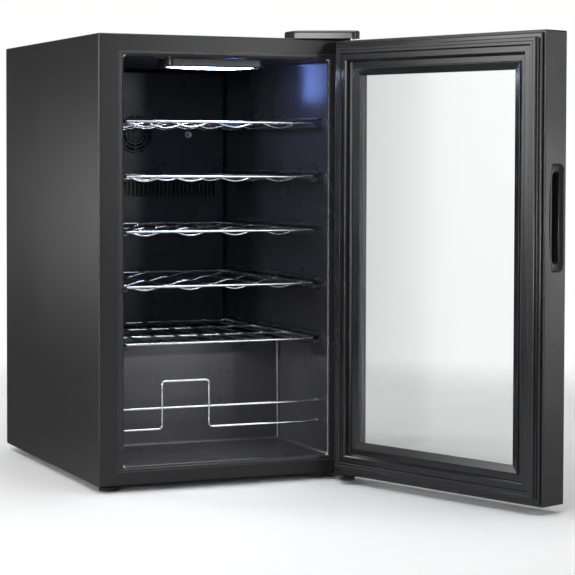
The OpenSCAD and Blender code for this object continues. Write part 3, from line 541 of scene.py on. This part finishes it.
def build_guard():
    """Two bars bent round from wall to wall; the lower one rises to a hoop in front of the bottles."""
    r = 2 * MM
    bar_gap, step_back, hoop_left, hoop_right = 39 * MM, 3.6 * MM, -124 * MM, -29 * MM
    y = GUARD_LO.y + r
    low_z, top_z = GUARD_LO.z + 2.2 * MM, GUARD_HI.z - 2.2 * MM
    mid_z = low_z + bar_gap
    back = GUARD_HI.y - r
    side = OPEN_X - 4 * MM
    bm = bmesh.new()
    lower = [(-OPEN_X, back, low_z), (-side, back, low_z), (-side, y, low_z), (hoop_left, y, low_z),
             (hoop_left, y, top_z), (hoop_right, y, top_z), (hoop_right, y, low_z), (side, y, low_z),
             (side, back, low_z), (OPEN_X, back, low_z)]
    upper = [(-OPEN_X, back, mid_z), (-side, back, mid_z), (-side, y + step_back, mid_z),
             (side, y + step_back, mid_z), (side, back, mid_z), (OPEN_X, back, mid_z)]
    for path in (lower, upper):
        tube(bm, fillet(path, 7 * MM, 5, closed=False), r, 10)
    part(finish_mesh("guard_wire", bm, "chrome_wire", sharp=50), "cabinet", "chrome_wire", "bottle_guard")


def build_hinge_cap():
    """A hollow cap over the top hinge, round at the hinge pin."""
    nose_r = 15 * MM
    nose = [AXIS.xy + nose_r * Vector((math.cos(a), math.sin(a)))
            for a in [math.radians(d) for d in range(-118, 1, 8)]]
    left, back, right = COVER_LO.x, COVER_HI.y, AXIS.x + nose_r
    outline = [Vector((right, back)), Vector((left, back)), Vector((left, FRONT + 1 * MM))]
    outline = fillet(outline + nose, [5 * MM, 5 * MM, 5 * MM] + [0] * len(nose), 4)
    bm = bmesh.new()
    low, high = COVER_LO.z, COVER_HI.z
    rise = 4.5 * MM
    rings = [[Vector((p.x, p.y, z)) for p in outline] for z in (low, high - rise - 0.4 * MM)]
    centre = sum(outline, Vector((0, 0))) / len(outline)
    # the top edge is rounded by rings that draw in as they rise
    steps = 5
    for k in range(steps + 1):
        a = math.pi / 2 * k / steps
        inset = rise * (1 - math.cos(a))
        z = high - rise + rise * math.sin(a)
        ring = []
        count = len(outline)
        for i, p in enumerate(outline):
            along = (outline[(i + 1) % count] - outline[i - 1]).normalized()
            inward = Vector((-along.y, along.x))
            if inward.dot(centre - p) < 0:
                inward = -inward
            ring.append(Vector((p.x + inward.x * inset, p.y + inward.y * inset, z)))
        rings.append(ring)
    rows = grid_faces(bm, rings, close_loop=False)
    bm.faces.new(rows[-1])
    obj = finish_mesh("hinge_cap", bm, "gloss_black_plastic", sharp=50)
    thicken(obj, 1.8 * MM)
    return part(obj, "cabinet", "gloss_black_plastic", "hinge_cover")


def build_rear_sheet():
    """Back panel with pressed ribs."""
    bm = bmesh.new()
    count, rib, rib_foot, rib_top = 5, 2.0 * MM, 16 * MM, 11 * MM
    margin, slope = 45 * MM, 6 * MM
    xs = [REAR_LO.x]
    for k in range(count):
        middle = REAR_LO.x + (REAR_HI.x - REAR_LO.x) * (k + 1) / (count + 1)
        xs += [middle - rib_foot, middle - rib_top, middle + rib_top, middle + rib_foot]
    xs.append(REAR_HI.x)
    zs = [REAR_LO.z, REAR_LO.z + margin, REAR_LO.z + margin + slope, REAR_HI.z - margin - slope,
          REAR_HI.z - margin, REAR_HI.z]
    rows = []
    for j, z in enumerate(zs):
        row = []
        for i, x in enumerate(xs):
            raised = 2 <= j <= 3 and 0 < i < len(xs) - 1 and (i - 1) % 4 in (1, 2)
            row.append(bm.verts.new((x, REAR_HI.y + (rib if raised else 0), z)))
        rows.append(row)
    for j in range(len(zs) - 1):
        for i in range(len(xs) - 1):
            bm.faces.new((rows[j][i], rows[j][i + 1], rows[j + 1][i + 1], rows[j + 1][i]))
    inner = [e for e in bm.edges if len(e.link_faces) == 2]
    bmesh.ops.bevel(bm, geom=inner, offset=1.4 * MM, segments=2, profile=0.5, affect="EDGES")
    obj = finish_mesh("rear_sheet", bm, "cabinet_paint", sharp=60)
    thicken(obj, 0.8 * MM, -1.0 if obj.data.polygons[0].normal.y > 0 else 1.0)
    return part(obj, "cabinet", "cabinet_paint", "rear_panel")


# ---------------------------------------------------------------- door

DOOR_W = 2 * HALF_W
DOOR_X1 = AXIS.x + AXIS_IN
DOOR_X0 = DOOR_X1 - DOOR_W
RIM_Y = AXIS.y + AXIS_DEEP
SWING = Matrix.Translation(AXIS) @ Matrix.Rotation(DOOR_OPEN, 4, "Z") @ Matrix.Translation(-AXIS)


def in_door(x, depth, z):
    """The place on the open door of a point given on the closed one; depth runs outwards from the rim."""
    return SWING @ Vector((x, RIM_Y - depth, z))


def door_sweep(name, outline, mat, nodes, sharp=38, mitred=False):
    """Runs an outline round the door: inset from its edge, depth from its rim, minus towards the cabinet."""
    bm = bmesh.new()
    run = mitred_bars if mitred else sweep
    run(bm, outline, DOOR_X0, DOOR_X1, DOOR_LO.z, DOOR_HI.z, in_door)
    return part(finish_mesh(name, bm, mat, sharp), "door", mat, *nodes)


def grip_outline(grow=0.0):
    """Outline of the recessed grip as (height, depth) points in mm, its rim side bowed."""
    half, wide, corner, bow = HANDLE_L / 2 + grow, HANDLE_HALF + grow, 14 + grow, HANDLE_BOW + grow
    centre = HANDLE_HALF - HANDLE_BOW
    steps = 8
    out = []
    for cx, cy, start in ((1, 1, 0), (-1, 1, 90), (-1, -1, 180), (1, -1, 270)):
        for k in range(steps + 1):
            a = math.radians(start + 90 * k / steps)
            out.append((cx * (half - corner) + corner * math.cos(a),
                        cy * (wide - corner) + corner * math.sin(a)))
        if start == 0:
            out += [(half * s, wide) for s in (0.72, 0.55, 0.37, 0.18, 0, -0.18, -0.37, -0.55, -0.72)]
    bowed = []
    for u, v in out:
        edge = centre + math.sqrt(bow * bow - u * u)
        bowed.append((u, min(v, edge)))
    return bowed


def slot_outline(reference, half, wide, middle):
    """Outline of the finger slot, one point for each point of the grip's outline."""
    out = []
    for u, v in reference:
        along = max(min(u, half - wide), wide - half)
        dx, dy = u - along, v - middle
        size = max(math.hypot(dx, dy), 1e-6)
        out.append((along + wide * dx / size, middle + wide * dy / size))
    return out


def on_edge(u, v, deep):
    """A point of the grip: u up, v towards the rim and deep into the door's free edge, all in mm."""
    return in_door(DOOR_X0 + deep * MM, (HANDLE_MIDDLE - v) * MM, HANDLE_Z + u * MM)


def build_door_frame():
    """The hollow outer frame, with a hole for the grip in its free edge."""
    outline = [(0, 0), (4.6, 0), (9, 2.6), (9, 4), (46, 4), (46, GLASS_END), (58, GLASS_END), (30, 58),
               (0, 58)]
    outline = fillet(outline, [1.4, 0.8, 0.4, 0, 0, 0, 0.5, 1.6, 2.6], 4)
    bm = bmesh.new()
    sweep(bm, outline, DOOR_X0, DOOR_X1, DOOR_LO.z, DOOR_HI.z, in_door, 2.2 * MM, 4)
    frame_obj = finish_mesh("door_frame_outer", bm, "door_frame")
    bm = bmesh.new()
    hairline, hole_depth = 0.15, 30.2
    cut = grip_outline(hairline)
    solid_between(bm, [[on_edge(u, v, deep) for u, v in cut] for deep in (-2, hole_depth)])
    cutter = finish_mesh("grip_cutter", bm, "door_frame")
    hole = frame_obj.modifiers.new("grip", "BOOLEAN")
    hole.operation = "DIFFERENCE"
    hole.solver = "EXACT"
    hole.object = cutter
    apply_modifiers(frame_obj)
    bpy.data.objects.remove(cutter)
    part(frame_obj, "door", "door_frame", "door_shell")


def build_grip():
    """A dished plate that is deeper at its rim side, with the finger slot through its middle."""
    outer = grip_outline()
    half, wide, middle = 80.5, 9.0, -1.5

    def dish(v, deep_at_rim, deep_outside):
        share = (HANDLE_HALF - v) / (2 * HANDLE_HALF)
        return deep_at_rim + (deep_outside - deep_at_rim) * share

    rings = [[on_edge(u, v, 0.0) for u, v in outer]]
    for grow, at_rim, outside in ((-0.5, 0.6, 0.3), (-1.1, 3.4, 0.5), (-2.4, 4.2, 0.7)):
        rings.append([on_edge(u, v, dish(v, at_rim, outside)) for u, v in grip_outline(grow)])
    for grow, deep in ((2.2, 3.2), (1.0, 3.4), (0.3, 4.0)):
        ring = slot_outline(outer, half + grow, wide + grow, middle)
        rings.append([on_edge(u, v, dish(v, deep + 0.6, deep - 1.6)) for u, v in ring])
    for deep in (5.0, 27.0):
        rings.append([on_edge(u, v, deep) for u, v in slot_outline(outer, half, wide, middle)])
    bm = bmesh.new()
    rows = grid_faces(bm, rings, close_loop=False)
    bm.faces.new(rows[-1])
    obj = finish_mesh("grip_cup", bm, "door_frame", sharp=50)
    thicken(obj, 1.2 * MM)
    part(obj, "door", "door_frame", "handle_cup")


def build_door_inside():
    """The inner frame, the seal with its outer bead, and the spacers between the panes."""
    inner = [(9.3, 0.2), (9.3, 4), (46, 4), (46, 1), (68, 1), (68, -1.5), (54, -6), (52.5, -2), (42, -2),
             (40, -10), (37.5, -12), (27.6, -12), (26.4, -11), (26.4, 0.2)]
    radii = [0, 0, 0, 0, 0, 0.5, 0.8, 0.6, 0.8, 1.2, 1.2, 0.8, 0.5, 0]
    door_sweep("door_frame_inner", fillet(inner, radii, 4), "door_inner_plastic", ["door_inner_frame"],
               mitred=True)
    seal = [(9.6, -0.1), (5.2, -0.6), (5.2, -4.6), (12.4, -5.4), (13.4, -7.4), (12.2, -13.5), (19, -13.5),
            (19.6, -12.9), (20.2, -13.5), (25.4, -13.5), (26, -12), (26, -0.1)]
    radii = [0, 1.6, 2.2, 1.2, 0.8, 2.0, 0.2, 0.2, 0.2, 1.0, 0.4, 0]
    door_sweep("door_seal", fillet(seal, radii, 5), "gasket", ["door_gasket"], sharp=50)
    for k, depth in enumerate((4.0, 15.0)):
        strip = [(56, depth), (62, depth), (62, depth + 1.4), (60, depth + 2.2), (60, depth + 3.2),
                 (61.6, depth + 3.6), (61.6, depth + 5.0), (60, depth + 5.4), (60, depth + 6.2),
                 (62, depth + 6.8), (62, depth + 8), (56, depth + 8)]
        nodes = ["pane_spacers"] if k == 0 else []
        door_sweep(f"spacer_strip_{k + 1}", strip, "spacer_aluminium", nodes)


# ---------------------------------------------------------------- everything together

build_cabinet()
build_liner()
build_ribs()
build_lamp_bezel()
build_lamp_diffuser()
for shelf in SHELVES[:4]:
    build_cradle_shelf(shelf)
build_flat_shelf(FLAT_SHELF)
build_guard()
build_hinge_cap()
build_rear_sheet()
build_door_frame()
build_grip()
build_door_inside()

SLOT_OF = {s["node"]: s["material_slot"] for s in frame["record"]["subparts"]}
for node, obj in frame["nodes"].items():
    obj.data.materials.clear()
    obj.data.materials.append(FINISHES[SLOT_OF[node]])

# ---------------------------------------------------------------- camera, floor and light

YAW, PITCH, ROLL = 23.73, 2.13, 0.17    # degrees
CAMERA_PLACE = (-1.4149, -3.8054, 0.627)
FLOOR_R = 2.4                           # the floor fades into the white room between these two radii
FADE_R = 1.1
FLOOR_GAP = 0.2 * MM


def build_camera():
    camera = bpy.data.objects.new("camera", bpy.data.cameras.new("camera"))
    bpy.context.collection.objects.link(camera)
    camera.location = CAMERA_PLACE
    look = Matrix.Rotation(math.radians(-YAW), 4, "Z") @ Matrix.Rotation(math.radians(90 - PITCH), 4, "X")
    look = look @ Matrix.Rotation(math.radians(ROLL), 4, "Z")
    camera.rotation_euler = look.to_euler()
    camera.data.sensor_width = 36
    camera.data.lens = 124.6
    camera.data.shift_y = -0.1
    bpy.context.scene.camera = camera


def aim(obj, place, target):
    """Puts a light in its place; the camera doesn't see it, but polished surfaces do."""
    bpy.context.collection.objects.link(obj)
    obj.location = place
    obj.rotation_euler = (Vector(target) - Vector(place)).to_track_quat("-Z", "Y").to_euler()
    obj.visible_camera = False
    obj.visible_transmission = False


def soft_light(name, place, target, width, height, power, colour=(1, 1, 1)):
    """A softbox."""
    lamp = bpy.data.lights.new(name, "AREA")
    lamp.shape = "RECTANGLE"
    lamp.size, lamp.size_y = width, height
    lamp.energy = power
    lamp.color = colour
    aim(bpy.data.objects.new(name, lamp), place, target)


def from_middle(nt):
    """How far a point is from the origin of its own object."""
    place = add_node(nt, "TexCoord").outputs["Object"]
    return add_node(nt, "VectorMath", wires={0: place}, operation="LENGTH").outputs["Value"]


def glow_card(name, place, target, width, height, strength):
    """A card that glows in its middle and fades out to its edges, so its mirror image has no outline."""
    mesh = bpy.data.meshes.new(name)
    mesh.from_pydata([(-1, -1, 0), (1, -1, 0), (1, 1, 0), (-1, 1, 0)], [], [(0, 1, 2, 3)])
    obj = bpy.data.objects.new(name, mesh)
    obj.scale = (width / 2, height / 2, 1)
    aim(obj, place, target)
    m = bpy.data.materials.new(name)
    m.use_nodes = True
    nt = m.node_tree
    nt.nodes.remove(nt.nodes["Principled BSDF"])
    fade = add_range(nt, from_middle(nt), 0.0, 1.0, strength, 0.0, smooth=True)
    glow = add_node(nt, "Emission", wires={"Strength": fade})
    nt.links.new(glow.outputs["Emission"], nt.nodes["Material Output"].inputs["Surface"])
    mesh.materials.append(m)


def seen_directly(nt):
    """1 for rays that the camera sends, straight or through glass, and 0 for reflections and bounces."""
    path = add_node(nt, "LightPath")
    wires = {0: path.outputs["Is Camera Ray"], 1: path.outputs["Is Transmission Ray"]}
    return add_node(nt, "Math", wires=wires, operation="MAXIMUM").outputs["Value"]


def floor_material():
    """White where it is seen, with a painted shade darker towards the back for reflections and bounced light, and
    clear at its edge.
    """
    m = material("floor_white", (0.87, 0.87, 0.87), 0.6, patch=1.0, tint=0.01)
    nt = m.node_tree
    place = add_node(nt, "TexCoord").outputs["Object"]
    along = add_node(nt, "SeparateXYZ", wires={"Vector": place}).outputs["Y"]
    # painted shade: reflections and bounces see the floor darker towards the back
    darker = add_range(nt, along, -1.2, 0.5, 0.55, 0.10)
    dim = add_node(nt, "BsdfDiffuse", wires={"Color": darker}).outputs["BSDF"]
    white = nt.nodes["Principled BSDF"].outputs["BSDF"]
    lit = add_node(nt, "MixShader", wires={"Fac": seen_directly(nt), 1: dim, 2: white}).outputs["Shader"]
    fade = add_range(nt, from_middle(nt), FADE_R, FLOOR_R * 0.97, 0.0, 1.0, smooth=True)
    clear = add_node(nt, "BsdfTransparent").outputs["BSDF"]
    edge = add_node(nt, "MixShader", wires={"Fac": fade, 1: lit, 2: clear}).outputs["Shader"]
    nt.links.new(edge, nt.nodes["Material Output"].inputs["Surface"])
    return m


def build_floor():
    bm = bmesh.new()
    bmesh.ops.create_circle(bm, cap_ends=True, radius=FLOOR_R, segments=96)
    mesh = bpy.data.meshes.new("floor")
    bm.to_mesh(mesh)
    bm.free()
    obj = bpy.data.objects.new("floor", mesh)
    bpy.context.collection.objects.link(obj)
    obj.location.z = -FLOOR_GAP
    mesh.materials.append(floor_material())


def build_room():
    """A white wall for the camera, a dim one for reflections, and a painted shade near the hinge that only rays
    through the glass see.
    """
    world = bpy.data.worlds.new("studio")
    bpy.context.scene.world = world
    world.use_nodes = True
    nt = world.node_tree
    background = nt.nodes["Background"]
    background.inputs["Color"].default_value = (1, 1, 1, 1)
    strength = add_range(nt, seen_directly(nt), 0.0, 1.0, 0.07, 1.0)
    heading = add_node(nt, "TexCoord").outputs["Generated"]
    along = add_node(nt, "SeparateXYZ", wires={"Vector": heading}).outputs["X"]
    # painted shade: the wall is darker near the hinge for rays seen through the glass
    shade = add_range(nt, along, 0.425, 0.485, 0.78, 1.04, smooth=True)
    through = add_node(nt, "LightPath").outputs["Is Transmission Ray"]
    pick = add_node(nt, "Mix", {"A": 1.0}, {"Factor": through, "B": shade}, data_type="FLOAT")
    wires = {0: strength, 1: pick.outputs["Result"]}
    both = add_node(nt, "Math", wires=wires, operation="MULTIPLY").outputs["Value"]
    nt.links.new(both, background.inputs["Strength"])


build_camera()
# each card lies where some face of the cabinet or the door mirrors it
soft_light("light_over", (0, -0.6, 3.4), (0, 0, 0), 4.0, 4.0, 118)
soft_light("light_front", (1.38, -3.4, 0.85), (0, -0.3, 0.45), 0.5, 1.1, 9.5)
soft_light("light_inside", (0.105, -0.10, 0.770), (0.207, -0.30, 0.755), 0.05, 0.08, 0.12, (0.22, 0.35, 1.0))
soft_light("light_low", (0, -0.19, 0.235), (0, -0.2, 0), 0.30, 0.14, 0.5)
glow_card("card_side", (-1.57, 2.2, 0.45), (-0.2, -0.2, 0.5), 0.8, 1.0, 4.2)
glow_card("card_right", (3.3, 0.9, 1.0), (0.2, 0, 0.45), 2.6, 2.4, 3.0)
glow_card("card_back", (0.9, 3.6, 1.0), (0, 0.3, 0.45), 2.6, 2.4, 3.0)
glow_card("card_key", (-2.5, -4.55, 1.2), (0.2, -0.35, 0.85), 1.9, 1.3, 10)
glow_card("card_top", (-1.3, 1.0, 2.9), (0.35, -0.6, 0.87), 1.3, 1.3, 16)
glow_card("card_left", (-2.7, -0.1, 1.1), (0.3, -0.6, 0.6), 2.2, 2.4, 6.2)
glow_card("card_corner", (-2.5, -2.2, 0.65), (0.2, -0.4, 0.5), 0.6, 2.6, 45)
glow_card("card_edge", (3.0, -1.75, 0.5), (0.35, -0.6, 0.5), 1.0, 2.2, 4.0)
build_floor()
build_room()
bpy.context.scene.view_settings.view_transform = "Standard"
